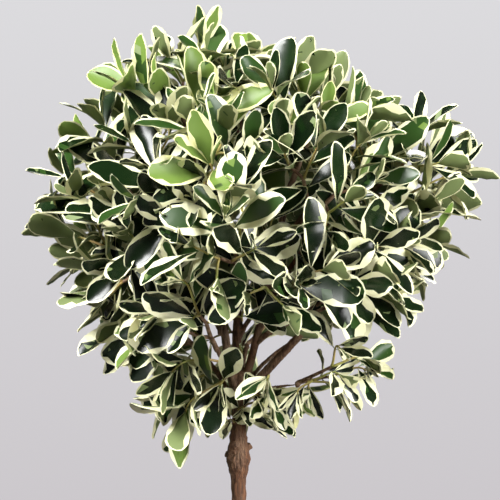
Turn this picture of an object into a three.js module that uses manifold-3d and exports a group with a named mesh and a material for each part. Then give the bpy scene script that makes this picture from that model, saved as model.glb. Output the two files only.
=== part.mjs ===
// A variegated evergreen spindle grown as a lollipop standard, in a plain clay pot.
// Units are millimetres and +Z is up. The origin is the centre of the pot's flat underside,
// -Y is the side that the plant shows to its viewer, and +X is that viewer's right.
import * as THREE from "three";
import { mergeVertices } from "three/addons/utils/BufferGeometryUtils.js";
import Module from "manifold-3d";

const wasm = await Module();
wasm.setup();

// ---------------------------------------------------------------- driving dimensions
const GAP = 0.35; // clearance between pieces that meet

const POT = {
  height: 210,
  rimRadius: 120,
  rimHeight: 34,
  rimStep: 7,
  footRadius: 80,
  wall: 8,
  floor: 10,
  sides: 36,
};
const HEADROOM = 20; // from the compost up to the rim's top
const COMPOST_TOP = POT.height - HEADROOM;

const STEM = {
  forkHeight: 555, // of the fork above the compost
  footRadius: 8.6,
  forkRadius: 6.6,
  flare: 6.5, // of the root flare beyond the stem's own radius
  flareReach: 16,
  knobHeight: 490, // of the old pruning knob above the compost
  knobRise: 5.4,
  knobReach: 13,
  buried: 4, // drawn this far into the compost, then cut flat at ground level
  sway: 1.8,
  sides: 10,
  steps: 32,
};
const FORK = new THREE.Vector3(2, 0, COMPOST_TOP + STEM.forkHeight);

const CROWN = {
  centre: new THREE.Vector3(15, 0, COMPOST_TOP + 710),
  radius: 188,
  ripple: 5,
};

// Bare heart of the crown: boughs run here, from below the fork up to the crown's middle.
const HEART = {
  low: new THREE.Vector3(0, 0, FORK.z - 60),
  high: new THREE.Vector3(12, 4, CROWN.centre.z - 15),
  lowRadius: 38,
  highRadius: 58,
};
// Gap above the low right spray, seen right through from front to back.
const WINDOW = { x: 54, z: FORK.z + 21, halfWidth: 29, halfHeight: 18 };

const MASS_DETAIL = 3; // subdivision of the icosahedron that each mass starts from
const MASS_ROUNDING = 7; // a higher power keeps sharper edges between masses
const MASS_BLUR = 10; // degrees over which a mass's skin is evened out
const LEAST_REACH = 6;

// Masses of foliage by tier. Headings are in degrees from the crown's centre, azimuth from +X
// towards +Y, and depth is the mass's own centre as a share of the crown's radius. A girth is the
// furthest that a thin mass reaches from its own centre.
const TIERS = [
  { tier: "top", elevation: 60, depth: 0.62, sides: { left: 205, right: 322, back: 85 } },
  {
    tier: "upper",
    elevation: 22,
    depth: 0.66,
    sides: { front_left: -126, front_right: -54, right: 18, back: 90, left: 162 },
  },
  {
    tier: "middle",
    elevation: -12,
    depth: 0.68,
    sides: { front: -92, right: -20, back_right: 52, back_left: 126, left: 198 },
  },
  {
    tier: "lower",
    elevation: -46,
    depth: 0.68,
    sides: { front_left: -128, right: 16, back: 90, left: 162 },
  },
  { tier: "low", elevation: -62, depth: 0.93, girth: 66, sides: { right_spray: -34 } },
];

// Shoots that stand proud of the ball: the heading, the rise beyond the ball, and the spread.
const PROUD_SHOOTS = [
  { azimuth: 180, elevation: 76, rise: 26, spread: 13 },
  { azimuth: 184, elevation: 44, rise: 38, spread: 13 },
  { azimuth: 180, elevation: 12, rise: 44, spread: 12 },
  { azimuth: 186, elevation: -6, rise: 30, spread: 12 },
  { azimuth: 208, elevation: -68, rise: 74, spread: 11 },
  { azimuth: 0, elevation: 18, rise: 60, spread: 12 },
  { azimuth: 4, elevation: 3, rise: 30, spread: 11 },
  { azimuth: -6, elevation: 40, rise: 12, spread: 12 },
  { azimuth: -10, elevation: 64, rise: -24, spread: 15 },
  { azimuth: -98, elevation: 10, rise: 24, spread: 13 },
  { azimuth: -64, elevation: -14, rise: 20, spread: 12 },
  { azimuth: 84, elevation: 16, rise: 32, spread: 13 },
  { azimuth: 104, elevation: -16, rise: 24, spread: 12 },
];
// The same round the rest of the ball, spaced along a spiral by the golden angle.
const SPIRAL_SHOOTS = { count: 24, rise: 12, riseSwing: 16, spread: 13 };
const GOLDEN_ANGLE = 137.508;

// Limbs that leave the fork: the mass each ends in, its radius, and the leans that shape it.
const LIMBS = [
  { name: "limb_right", to: "middle_right", radius: 4.6, start: [6.5, -1.5], lean: [46, -9, 38] },
  { name: "limb_centre", to: "top_right", radius: 4.3, start: [2, 4.5], lean: [22, 6, 52] },
  { name: "limb_left", to: "top_left", radius: 4.4, start: [-5, -3.5], lean: [-16, -6, 60] },
  { name: "limb_back", to: "top_back", radius: 4.0, start: [-5, 6.5], lean: [-6, 26, 62] },
];

// Boughs that leave the stem or a limb, at a share of its length, each for one mass.
const BOUGHS = [
  { to: "lower_left", from: "trunk", at: 0.953, radius: 3.0 },
  { to: "lower_front_left", from: "trunk", at: 0.974, radius: 3.0 },
  { to: "lower_back", from: "trunk", at: 0.968, radius: 2.8 },
  { to: "lower_right", from: "trunk", at: 0.984, radius: 2.5 },
  { to: "low_right_spray", from: "trunk", at: 0.962, radius: 1.9 },
  { to: "middle_left", from: "limb_left", at: 0.2, radius: 3.0 },
  { to: "middle_front", from: "limb_left", at: 0.3, radius: 3.0 },
  { to: "upper_left", from: "limb_left", at: 0.42, radius: 2.9 },
  { to: "upper_front_left", from: "limb_left", at: 0.52, radius: 2.8 },
  { to: "upper_front_right", from: "limb_centre", at: 0.34, radius: 2.9 },
  { to: "upper_right", from: "limb_centre", at: 0.26, radius: 2.9 },
  { to: "middle_back_right", from: "limb_back", at: 0.17, radius: 2.9 },
  { to: "middle_back_left", from: "limb_back", at: 0.26, radius: 2.9 },
  { to: "upper_back", from: "limb_back", at: 0.42, radius: 2.9 },
];
const LIMB_TAPER = 0.7; // tip radius over foot radius
const BOUGH_TAPER = 0.7;
const BOUGH_RISE = 0.45; // how far along its parent's heading a bough sets out

const LOOKS = {
  clay: { color: 0xa85f3f, roughness: 0.85, metalness: 0 },
  compost: { color: 0x2e2119, roughness: 1, metalness: 0 },
  bark: { color: 0x6b4429, roughness: 0.9, metalness: 0 },
  foliage: { color: 0x5f7a45, roughness: 0.55, metalness: 0 },
};

// ---------------------------------------------------------------- helpers
const radians = THREE.MathUtils.degToRad;

function heading(azimuth, elevation) {
  const flat = Math.cos(radians(elevation));
  return new THREE.Vector3(
    flat * Math.cos(radians(azimuth)),
    flat * Math.sin(radians(azimuth)),
    Math.sin(radians(elevation)),
  );
}

function solidOf(geometry) {
  const bare = geometry.clone();
  bare.deleteAttribute("normal");
  bare.deleteAttribute("uv");
  const merged = mergeVertices(bare, 1e-3);
  return new wasm.Manifold(
    new wasm.Mesh({
      numProp: 3,
      vertProperties: new Float32Array(merged.attributes.position.array),
      triVerts: new Uint32Array(merged.index.array),
    }),
  );
}

function geometryOf(solid) {
  const mesh = solid.getMesh();
  const geometry = new THREE.BufferGeometry();
  geometry.setAttribute("position", new THREE.BufferAttribute(mesh.vertProperties, 3));
  geometry.setIndex(new THREE.BufferAttribute(mesh.triVerts, 1));
  geometry.computeVertexNormals();
  return geometry;
}

function largestPiece(solid) {
  return solid.decompose().reduce((a, b) => (a.volume() > b.volume() ? a : b));
}

// A round profile [radius, height] turned about +Z.
function turned(profile, sides) {
  const outline = profile.map(([radius, height]) => new THREE.Vector2(radius, height));
  return new THREE.LatheGeometry(outline, sides).rotateX(Math.PI / 2);
}

// A round, tapering limb along a curve, flat at both ends. radiusAt takes a share of the length.
function limbSolid(curve, radiusAt, sides, steps) {
  const profile = [new THREE.Vector2(0, 0)];
  for (let i = 0; i <= steps; i++) profile.push(new THREE.Vector2(radiusAt(i / steps), i));
  profile.push(new THREE.Vector2(0, steps));
  const geometry = new THREE.LatheGeometry(profile, sides);
  const frames = curve.computeFrenetFrames(steps, false);
  const place = geometry.attributes.position;
  for (let i = 0; i < place.count; i++) {
    const step = Math.round(place.getY(i));
    const spot = curve.getPointAt(step / steps);
    spot.addScaledVector(frames.binormals[step], place.getX(i));
    spot.addScaledVector(frames.normals[step], place.getZ(i));
    place.setXYZ(i, spot.x, spot.y, spot.z);
  }
  return solidOf(geometry);
}

// ---------------------------------------------------------------- pot and compost
function potGeometry() {
  const { height, rimRadius, rimHeight, rimStep, footRadius, wall, floor, sides } = POT;
  const rimFoot = height - rimHeight;
  const bodyTop = rimRadius - rimStep;
  return turned(
    [
      [0, 0],
      [footRadius - 2, 0],
      [footRadius, 3],
      [bodyTop, rimFoot],
      [rimRadius - 1, rimFoot],
      [rimRadius, rimFoot + 3],
      [rimRadius, height - 3],
      [rimRadius - 3, height],
      [rimRadius - rimStep - wall + 3, height],
      [rimRadius - rimStep - wall, height - 3],
      [bodyTop - wall, rimFoot],
      [footRadius - wall, floor],
      [0, floor],
    ],
    sides,
  );
}

function insideRadius(height) {
  const rimFoot = POT.height - POT.rimHeight;
  const low = POT.footRadius - POT.wall;
  const high = POT.rimRadius - POT.rimStep - POT.wall;
  const share = Math.min((height - POT.floor) / (rimFoot - POT.floor), 1);
  return low + (high - low) * share;
}

function compostGeometry() {
  const foot = POT.floor + GAP;
  const rimFoot = POT.height - POT.rimHeight;
  return turned(
    [
      [0, foot],
      [insideRadius(POT.floor) - GAP, foot],
      [insideRadius(rimFoot) - GAP, rimFoot],
      [insideRadius(rimFoot) - GAP, COMPOST_TOP - 3],
      [insideRadius(rimFoot) - 8, COMPOST_TOP],
      [0, COMPOST_TOP],
    ],
    POT.sides,
  );
}

// ---------------------------------------------------------------- stem
function stemCurve() {
  const foot = COMPOST_TOP - STEM.buried;
  const points = [0, 0.2, 0.45, 0.7, 0.88, 1].map(
    (share, i) =>
      new THREE.Vector3(
        FORK.x * share + (i % 2 ? STEM.sway : -STEM.sway) * Math.sin(Math.PI * share),
        STEM.sway * Math.sin(2 * Math.PI * share),
        foot + (FORK.z - foot) * share,
      ),
  );
  return new THREE.CatmullRomCurve3(points);
}

function stemRadius(share) {
  const height = share * (STEM.forkHeight + STEM.buried) - STEM.buried;
  const taper = STEM.footRadius + (STEM.forkRadius - STEM.footRadius) * share;
  const flare = STEM.flare * Math.exp(-Math.max(height, 0) / STEM.flareReach);
  const fromKnob = (height - STEM.knobHeight) / STEM.knobReach;
  return taper + flare + STEM.knobRise * Math.exp(-fromKnob * fromKnob);
}

// ---------------------------------------------------------------- crown
const shoots = [...PROUD_SHOOTS];
for (let i = 0; i < SPIRAL_SHOOTS.count; i++) {
  const height = 1 - (2 * (i + 0.5)) / SPIRAL_SHOOTS.count;
  shoots.push({
    azimuth: i * GOLDEN_ANGLE,
    elevation: THREE.MathUtils.radToDeg(Math.asin(height)),
    rise: SPIRAL_SHOOTS.rise + SPIRAL_SHOOTS.riseSwing * Math.sin(i * 2.4),
    spread: SPIRAL_SHOOTS.spread,
  });
}
for (const shoot of shoots) shoot.heading = heading(shoot.azimuth, shoot.elevation);

// How far the crown reaches from its centre along a heading.
function crownReach(way) {
  let reach = CROWN.radius + CROWN.ripple * Math.sin(7 * way.x + 2) * Math.sin(6 * way.y + 5 * way.z);
  for (const shoot of shoots) {
    const away = THREE.MathUtils.radToDeg(way.angleTo(shoot.heading)) / shoot.spread;
    reach += shoot.rise * Math.exp(-away * away);
  }
  return reach;
}

const heartLine = new THREE.Line3(HEART.low, HEART.high);

function inHeart(point) {
  const share = heartLine.closestPointToPointParameter(point, true);
  const nearest = heartLine.at(share, new THREE.Vector3());
  return point.distanceTo(nearest) < HEART.lowRadius + (HEART.highRadius - HEART.lowRadius) * share;
}

function inWindow(point) {
  const across = (point.x - WINDOW.x) / WINDOW.halfWidth;
  const up = (point.z - WINDOW.z) / WINDOW.halfHeight;
  return across * across + up * up < 1;
}

function inLeaf(point) {
  const out = point.clone().sub(CROWN.centre);
  const distance = out.length();
  return distance < crownReach(out.divideScalar(distance)) && !inHeart(point) && !inWindow(point);
}

// How far a ray from inside the foliage runs before it leaves it, found in coarse then fine steps.
function runOfLeaf(from, way) {
  const coarse = 3;
  const fine = 0.25;
  let run = 0;
  while (inLeaf(from.clone().addScaledVector(way, run + coarse))) run += coarse;
  while (inLeaf(from.clone().addScaledVector(way, run + fine))) run += fine;
  return run;
}

const masses = TIERS.flatMap(({ tier, elevation, depth, girth = CROWN.radius, sides }) =>
  Object.entries(sides).map(([side, azimuth]) => ({
    name: `${tier}_${side}`,
    girth,
    centre: heading(azimuth, elevation).multiplyScalar(depth * CROWN.radius).add(CROWN.centre),
  })),
);

// The same reaches, each averaged with those in the directions close by.
function blurred(reaches, directions) {
  const sharpness = radians(MASS_BLUR) ** -2;
  return directions.map((way) => {
    let sum = 0;
    let weights = 0;
    directions.forEach((near, i) => {
      const weight = Math.exp((way.dot(near) - 1) * sharpness);
      sum += weight * reaches[i];
      weights += weight;
    });
    return sum / weights;
  });
}

// A closed, uneven solid that fills its share of the crown: the ray from its centre stops at the
// crown's skin, at the bare heart or the window, and halfway to each neighbouring mass.
function massReaches(mass, directions) {
  const runs = directions.map((way) => runOfLeaf(mass.centre, way));
  const skin = blurred(runs, directions);
  return directions.map((way, i) => {
    const stops = [skin[i], mass.girth];
    for (const other of masses) {
      if (other === mass) continue;
      const across = other.centre.clone().sub(mass.centre);
      const half = across.length() / 2 - GAP;
      const facing = way.dot(across.normalize());
      if (facing > 1e-3) stops.push(half / facing);
    }
    const sum = stops.reduce((total, stop) => total + Math.max(stop, LEAST_REACH) ** -MASS_ROUNDING, 0);
    return sum ** (-1 / MASS_ROUNDING);
  });
}

function massSolid(mass, ball, reaches, extra) {
  const geometry = ball.clone();
  const place = geometry.attributes.position;
  reaches.forEach((reach, i) => {
    const spot = new THREE.Vector3().fromBufferAttribute(place, i).normalize();
    spot.multiplyScalar(reach + extra).add(mass.centre);
    place.setXYZ(i, spot.x, spot.y, spot.z);
  });
  return solidOf(geometry);
}

const ball = new THREE.IcosahedronGeometry(1, MASS_DETAIL);
const directions = [];
for (let i = 0; i < ball.attributes.position.count; i++)
  directions.push(new THREE.Vector3().fromBufferAttribute(ball.attributes.position, i).normalize());
for (const mass of masses) {
  const reaches = massReaches(mass, directions);
  mass.solid = massSolid(mass, ball, reaches, 0);
  mass.clearance = massSolid(mass, ball, reaches, 2 * GAP);
}
const massNamed = (name) => masses.find((mass) => mass.name === name);

// ---------------------------------------------------------------- limbs and boughs
const wood = []; // every piece of wood so far: its name, curve, solid and clearance

function addWood(name, curve, radiusAt, sides, steps) {
  let solid = limbSolid(curve, radiusAt, sides, steps);
  const inTheWay = [...wood, ...masses].map((piece) => piece.clearance);
  for (const obstacle of inTheWay) solid = solid.subtract(obstacle);
  const clearance = limbSolid(curve, (share) => radiusAt(share) + 2 * GAP, sides, steps);
  wood.push({ name, curve, solid: largestPiece(solid), clearance });
}

addWood("trunk", stemCurve(), stemRadius, STEM.sides, STEM.steps);
wood[0].solid = wood[0].solid.trimByPlane([0, 0, 1], COMPOST_TOP + GAP);

for (const { name, to, radius, start, lean } of LIMBS) {
  const from = FORK.clone().add(new THREE.Vector3(start[0], start[1], -5));
  const knee = FORK.clone().add(new THREE.Vector3(...lean));
  const curve = new THREE.QuadraticBezierCurve3(from, knee, massNamed(to).centre);
  addWood(name, curve, (share) => radius * (1 - (1 - LIMB_TAPER) * share), 8, 9);
}

for (const { to, from, at, radius } of BOUGHS) {
  const parent = wood.find((piece) => piece.name === from).curve;
  const foot = parent.getPointAt(at);
  const end = massNamed(to).centre;
  const span = foot.distanceTo(end);
  const setOut = parent.getTangentAt(at).lerp(end.clone().sub(foot).normalize(), 0.5).normalize();
  const knee = foot.clone().addScaledVector(setOut, BOUGH_RISE * span);
  const curve = new THREE.QuadraticBezierCurve3(foot, knee, end);
  addWood(`bough_${to}`, curve, (share) => radius * (1 - (1 - BOUGH_TAPER) * share), 6, 7);
}

// ---------------------------------------------------------------- the plant
const plant = new THREE.Group();

function addPart(name, geometry, look) {
  const mesh = new THREE.Mesh(geometry, new THREE.MeshStandardMaterial(look));
  mesh.name = name;
  plant.add(mesh);
}

addPart("pot", potGeometry(), LOOKS.clay);
addPart("compost", compostGeometry(), LOOKS.compost);
for (const { name, solid } of wood) addPart(name, geometryOf(solid), LOOKS.bark);
for (const { name, solid } of masses) addPart(`foliage_${name}`, geometryOf(solid), LOOKS.foliage);

export default plant;
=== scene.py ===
"""Models a cream-edged evergreen spindle, grown as a lollipop standard in a clay pot.

The stem, limbs and boughs get bark over the frame's own wood, and every mass of foliage is replaced
by twigs and leaves that grow on from the bough that enters it. All sizes are in metres, +Z is up
and -Y is the side that the plant shows to its viewer.
"""

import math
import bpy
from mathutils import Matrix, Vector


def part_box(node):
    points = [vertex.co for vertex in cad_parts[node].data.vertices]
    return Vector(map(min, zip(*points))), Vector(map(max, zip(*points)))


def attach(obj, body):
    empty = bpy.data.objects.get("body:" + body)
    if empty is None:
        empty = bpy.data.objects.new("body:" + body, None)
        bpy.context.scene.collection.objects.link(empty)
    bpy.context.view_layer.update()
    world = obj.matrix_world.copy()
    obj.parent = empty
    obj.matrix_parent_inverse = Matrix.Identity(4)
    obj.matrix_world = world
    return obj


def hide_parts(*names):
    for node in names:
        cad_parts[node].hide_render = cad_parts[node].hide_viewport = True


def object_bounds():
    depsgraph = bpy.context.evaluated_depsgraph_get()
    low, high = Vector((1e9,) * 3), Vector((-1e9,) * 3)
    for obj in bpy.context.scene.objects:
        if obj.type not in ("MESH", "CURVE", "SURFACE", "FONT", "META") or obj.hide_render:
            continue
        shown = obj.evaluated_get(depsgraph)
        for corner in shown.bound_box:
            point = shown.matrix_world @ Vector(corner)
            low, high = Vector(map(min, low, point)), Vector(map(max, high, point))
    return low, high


bl_info = {
    "name": "Spindle Standard",
    "version": (1, 0, 0),
    "blender": (4, 5, 0),
    "location": "3D View > Sidebar > Spindle",
    "description": "Models a cream-edged spindle standard in a clay pot, on a plain stage",
    "category": "Object",
}

import bpy
import numpy as np
from bpy.props import FloatProperty, FloatVectorProperty, IntProperty, PointerProperty
from mathutils import Matrix, Vector, noise

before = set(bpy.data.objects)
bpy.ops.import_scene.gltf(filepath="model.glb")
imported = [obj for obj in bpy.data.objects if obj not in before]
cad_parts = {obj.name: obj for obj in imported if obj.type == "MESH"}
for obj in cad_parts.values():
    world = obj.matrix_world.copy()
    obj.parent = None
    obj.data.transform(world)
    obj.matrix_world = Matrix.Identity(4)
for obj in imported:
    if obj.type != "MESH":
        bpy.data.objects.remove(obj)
CAD_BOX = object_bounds()

BODY = "root"
UP = np.array([0.0, 0.0, 1.0])
FRONT = np.array([0.0, -1.0, 0.0])  # the side that stood to the light
GOLDEN_ANGLE = math.pi * (3 - math.sqrt(5))
WOOD = [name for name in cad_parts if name.split("_")[0] in ("trunk", "limb", "bough")]
MASSES = sorted(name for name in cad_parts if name.startswith("foliage_"))
# Gaps of open sky, as distances right of and above the fork, half widths and half heights.
WINDOWS = ((0.051, 0.023, 0.026, 0.015), (-0.012, 0.053, 0.020, 0.011))
LOW_SPRAY = "foliage_low_right_spray"  # thin and open, with small leaves
TIERS = {"top": "top", "upper": "upper", "middle": "middle", "lower": "lower", "low": "lower"}


# ---------------------------------------------------------------- settings
def length(name, description, default):
    return FloatProperty(name=name, description=description, default=default, unit="LENGTH")


def number(name, description, default):
    return FloatProperty(name=name, description=description, default=default)


def count_of(name, description, default):
    return IntProperty(name=name, description=description, default=default)


def colour(name, description, default):
    return FloatVectorProperty(
        name=name, description=description, default=default, subtype="COLOR", size=3, min=0, max=1
    )


class PotSettings(bpy.types.PropertyGroup):
    """Sizes and colours of the clay pot and the compost in it."""

    wall: length("Wall", "Thickness of the pot's wall", 0.008)
    floor: length("Floor", "Thickness of the pot's floor", 0.010)
    rim_height: length("Rim height", "Height of the rolled rim", 0.034)
    rim_step: length("Rim step", "How far the rim stands out from the body", 0.007)
    hole_radius: length("Drain hole", "Radius of the drain hole in the floor", 0.011)
    clay: colour("Clay", "Fired clay", (0.46, 0.165, 0.078))
    clay_pale: colour("Pale clay", "Clay where it is rubbed and dry", (0.60, 0.30, 0.18))
    bloom: colour("Bloom", "Mineral bloom that watering leaves on the clay", (0.66, 0.52, 0.43))
    compost: colour("Compost", "Damp compost", (0.030, 0.018, 0.011))
    crumb: length("Crumb", "Height of the compost's crumbs", 0.0032)
    chips: count_of("Chips", "Bark chips on the compost", 420)


class BarkSettings(bpy.types.PropertyGroup):
    """Relief and colours of the bark."""

    voxel: length("Grain", "Size of the facets that carry the relief", 0.0009)
    relief: length("Relief", "Depth of the bark's cracks on the stem", 0.0009)
    knob_share: number("Knob", "Height of the pruning knob as a share of the stem", 0.883)
    knob_relief: length("Knob relief", "Extra depth of the folds round the knob", 0.0016)
    old: colour("Old bark", "Ridges of old bark", (0.190, 0.077, 0.031))
    crack: colour("Cracks", "Cracks between the ridges", (0.040, 0.018, 0.010))
    worn: colour("Worn bark", "Grey weathered patches", (0.32, 0.205, 0.125))
    green_stem: colour("Green stem", "Bark of this year's shoots", (0.33, 0.34, 0.085))
    tan_stem: colour("Tan stem", "Ripening bark lower down the shoots", (0.46, 0.31, 0.105))


class CrownSettings(bpy.types.PropertyGroup):
    """How the twigs branch and where the leaves stand."""

    seed: count_of("Seed", "Seed of the branching", 11)
    spacing: length("Spacing", "Least distance between the tips of two shoots", 0.0392)
    inset: length("Inset", "Least depth of a shoot's tip under the crown's skin", 0.035)
    inset_swing: length("Inset swing", "How much deeper the lowest shoots stay", 0.034)
    lift: number("Lift", "How strongly shoots turn up", 0.22)
    stem_shoots: count_of("Stem shoots", "Shoots round the stem's top", 11)
    shoot_radius: length("Shoot radius", "Radius of a shoot under its last leaves", 0.0011)
    leaf_length: length("Leaf length", "Length of a full leaf", 0.053)
    leaf_width: number("Leaf width", "Width of a leaf as a share of its length", 0.465)
    leaf_thickness: length("Leaf thickness", "Thickness of a leaf", 0.0005)
    petiole: length("Petiole", "Length of the leaf stalk", 0.005)


class LeafColours(bpy.types.PropertyGroup):
    """Plain colours that are dealt out over the leaves by spray."""

    cream: colour("Cream", "Margins of grown leaves", (0.84, 0.82, 0.54))
    butter: colour("Butter", "Margins of young leaves", (0.82, 0.80, 0.40))
    # deep and dark are also dealt to sprays in the hollow and on the inner twigs, as painted shade
    deep: colour("Deep green", "Middles of old leaves", (0.0032, 0.009, 0.0024))
    dark: colour("Dark green", "Middles of grown leaves", (0.0050, 0.0165, 0.0032))
    mid: colour("Mid green", "Middles of this year's leaves", (0.021, 0.055, 0.009))
    sage: colour("Sage", "Grey-green marbling next to the margins", (0.19, 0.24, 0.11))
    lime: colour("Lime", "Young leaves and leaf stalks", (0.125, 0.200, 0.036))
    under: colour("Underside", "Undersides of grown leaves", (0.135, 0.175, 0.062))
    under_cream: colour("Underside cream", "Margins seen from below", (0.80, 0.78, 0.48))


class StageSettings(bpy.types.PropertyGroup):
    """The pale floor, the soft light and the camera."""

    floor_radius: length("Floor radius", "Radius of the floor", 4.2)
    floor: colour("Floor", "How much light the pale floor throws back", (0.075, 0.073, 0.074))
    floor_glow: colour("Floor glow", "The least brightness of the floor", (0.57, 0.555, 0.57))
    wall_low: colour("Wall, low", "The backdrop below eye level", (0.60, 0.575, 0.60))
    wall_high: colour("Wall, high", "The backdrop above eye level", (0.72, 0.715, 0.735))
    camera_distance: length("Camera distance", "From the camera to the middle of the stem", 1.8)
    view_width: length("View width", "Width that the camera takes in at the stem", 0.475)
    aim_right: length("Aim right", "How far right of the fork the camera looks", 0.0103)
    aim_above: length("Aim above", "How far above the fork the camera looks", 0.1303)
    ambient: colour("Ambient", "Light that the surround throws on the plant", (0.070, 0.070, 0.067))
    key_power: number("Key", "Power of the key light in watts", 104.0)
    fill_power: number("Fill", "Power of the fill light in watts", 64.0)
    back_power: number("Back", "Power of the back light in watts", 36.0)


class SpindleSettings(bpy.types.PropertyGroup):
    """Everything about the plant that a user would change."""

    pot: PointerProperty(type=PotSettings)
    bark: PointerProperty(type=BarkSettings)
    crown: PointerProperty(type=CrownSettings)
    leaves: PointerProperty(type=LeafColours)
    stage: PointerProperty(type=StageSettings)


# ---------------------------------------------------------------- the frame's places
def node_points(name):
    """The corners of a CAD node as an array."""
    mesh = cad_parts[name].data
    points = np.empty(len(mesh.vertices) * 3, np.float32)
    mesh.vertices.foreach_get("co", points)
    return points.reshape(-1, 3).astype(float)


def unit(vector):
    """The same direction, or directions, at length 1."""
    return vector / np.linalg.norm(vector, axis=-1, keepdims=True)


def middle(name):
    low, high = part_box(name)
    return np.array((low + high) / 2)


def foot_radius(name, rise):
    """The radius of a round node's foot, taken from its corners less than a rise over it."""
    points = node_points(name)
    low = points[:, 2] < points[:, 2].min() + rise
    return np.linalg.norm(points[low, :2], axis=1).max()


def end_of(name, towards, depth=0.004):
    """The middle and the radius of a limb's end on the side of a point."""
    points = node_points(name)
    way = unit(np.asarray(towards) - points.mean(0))
    reach = points @ way
    rim = points[reach > reach.max() - depth]
    centre = rim.mean(0)
    off_axis = (rim - centre) - np.outer((rim - centre) @ way, way)
    return centre, float(np.linalg.norm(off_axis, axis=1).mean())


def along_wood(name, towards, share):
    """The middle of a limb at a share of its length, counted to its end on the side of a point."""
    points = node_points(name)
    way = unit(np.asarray(towards) - points.mean(0))
    reach = points @ way
    level = reach.min() + (reach.max() - reach.min()) * share
    near = np.abs(reach - level) < max(0.12 * np.ptp(reach), 0.003)
    return points[near].mean(0)


STEM_FOOT = np.array([0.0, 0.0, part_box("trunk")[0].z])
FORK = node_points("trunk")[node_points("trunk")[:, 2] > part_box("trunk")[1].z - 0.001].mean(0)
CROWN_LOW = np.min([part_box(name)[0] for name in MASSES], axis=0)
CROWN_HIGH = np.max([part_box(name)[1] for name in MASSES], axis=0)
CROWN_RISE = 0.155  # from the fork up to the crown's middle
CROWN_CENTRE = np.array([(CROWN_LOW[0] + CROWN_HIGH[0]) / 2, 0.0, FORK[2] + CROWN_RISE])


# ---------------------------------------------------------------- making pieces
def deselect_all():
    if bpy.context.mode != "OBJECT":
        bpy.ops.object.mode_set(mode="OBJECT")
    bpy.ops.object.select_all(action="DESELECT")


def make_only(piece):
    """Makes the piece the one that operators act on."""
    deselect_all()
    piece.select_set(True)
    bpy.context.view_layer.objects.active = piece


def edit_whole():
    """Opens the active piece's mesh, with all of it selected."""
    bpy.ops.object.mode_set(mode="EDIT")
    bpy.ops.mesh.select_all(action="SELECT")


def finish_piece(piece, materials, replaced=()):
    """Gives a piece its materials and body, and hides the CAD nodes that it stands for."""
    make_only(piece)
    bpy.ops.object.transform_apply(location=True, rotation=True, scale=True)
    for material in materials:
        piece.data.materials.append(material)
    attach(piece, BODY)
    if replaced:
        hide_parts(*replaced)
    deselect_all()


def apply_modifier(piece, kind, **values):
    make_only(piece)
    modifier = piece.modifiers.new(kind.title(), kind)
    for key, value in values.items():
        setattr(modifier, key, value)
    bpy.ops.object.modifier_apply(modifier=modifier.name)


def shape_points(piece, shape):
    """Moves each point of a piece's mesh to where shape(point) says."""
    for vertex in piece.data.vertices:
        vertex.co = shape(vertex.co)


def piece_of_copies(name, points, faces, shades=None, smooth=True):
    """A mesh object of many copies of one closed form.

    It takes the corners by copy, one copy's faces as corner numbers, and a material for each face.
    """
    count, corners = points.shape[:2]
    template = np.concatenate([np.array(face) for face in faces])
    loops = (template[None] + corners * np.arange(count)[:, None]).ravel()
    sizes = np.tile([len(face) for face in faces], count)
    mesh = bpy.data.meshes.new(name)
    mesh.vertices.add(count * corners)
    mesh.vertices.foreach_set("co", np.ascontiguousarray(points, np.float32).ravel())
    mesh.loops.add(len(loops))
    mesh.loops.foreach_set("vertex_index", loops.astype(np.int32))
    mesh.polygons.add(len(sizes))
    starts = np.concatenate([[0], np.cumsum(sizes)[:-1]])
    mesh.polygons.foreach_set("loop_start", starts.astype(np.int32))
    if shades is not None:
        mesh.polygons.foreach_set("material_index", shades.ravel().astype(np.int32))
    mesh.polygons.foreach_set("use_smooth", np.full(len(sizes), smooth))
    mesh.update(calc_edges=True)
    piece = bpy.data.objects.new(name, mesh)
    bpy.context.scene.collection.objects.link(piece)
    return piece


def raised_rings(name, rings, sides):
    """A round body raised ring by ring, as (radius, height), and closed from last to first."""
    deselect_all()
    radius, height = rings[0]
    bpy.ops.mesh.primitive_circle_add(vertices=sides, radius=radius, location=(0, 0, height))
    piece = bpy.context.object
    piece.name = piece.data.name = name
    bpy.ops.object.transform_apply()
    edit_whole()
    for next_radius, next_height in rings[1:]:
        bpy.ops.mesh.extrude_region_move(
            TRANSFORM_OT_translate={"value": (0, 0, next_height - height)}
        )
        grow = next_radius / radius
        bpy.ops.transform.resize(value=(grow, grow, 1), center_override=(0, 0, next_height))
        radius, height = next_radius, next_height
    bpy.ops.mesh.select_all(action="DESELECT")
    bpy.ops.mesh.select_mode(type="EDGE")
    bpy.ops.mesh.select_non_manifold(extend=False)
    bpy.ops.mesh.bridge_edge_loops()
    bpy.ops.mesh.select_all(action="SELECT")
    bpy.ops.mesh.normals_make_consistent(inside=False)
    bpy.ops.mesh.select_mode(type="VERT")
    bpy.ops.object.mode_set(mode="OBJECT")
    return piece


# ---------------------------------------------------------------- shared shader effects
def node_in(tree, kind, inputs=None, **values):
    """Adds a node, sets its properties, and sets or links its inputs."""
    node = tree.nodes.new(kind)
    for key, value in values.items():
        setattr(node, key, value)
    for key, value in (inputs or {}).items():
        if isinstance(value, bpy.types.NodeSocket):
            tree.links.new(value, node.inputs[key])
        else:
            node.inputs[key].default_value = value
    return node


def place_in(tree, kind="Object", scale=None):
    """The place on the piece, stretched where a scale is given."""
    place = node_in(tree, "ShaderNodeTexCoord").outputs[kind]
    if scale:
        inputs = {"Vector": place, "Scale": scale}
        place = node_in(tree, "ShaderNodeMapping", inputs).outputs["Vector"]
    return place


def height_in(tree, place):
    return node_in(tree, "ShaderNodeSeparateXYZ", {"Vector": place}).outputs["Z"]


def seen_in(tree):
    """1 where the camera looks straight at the surface, and 0 for the light that it throws."""
    return node_in(tree, "ShaderNodeLightPath").outputs["Is Camera Ray"]


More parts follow.
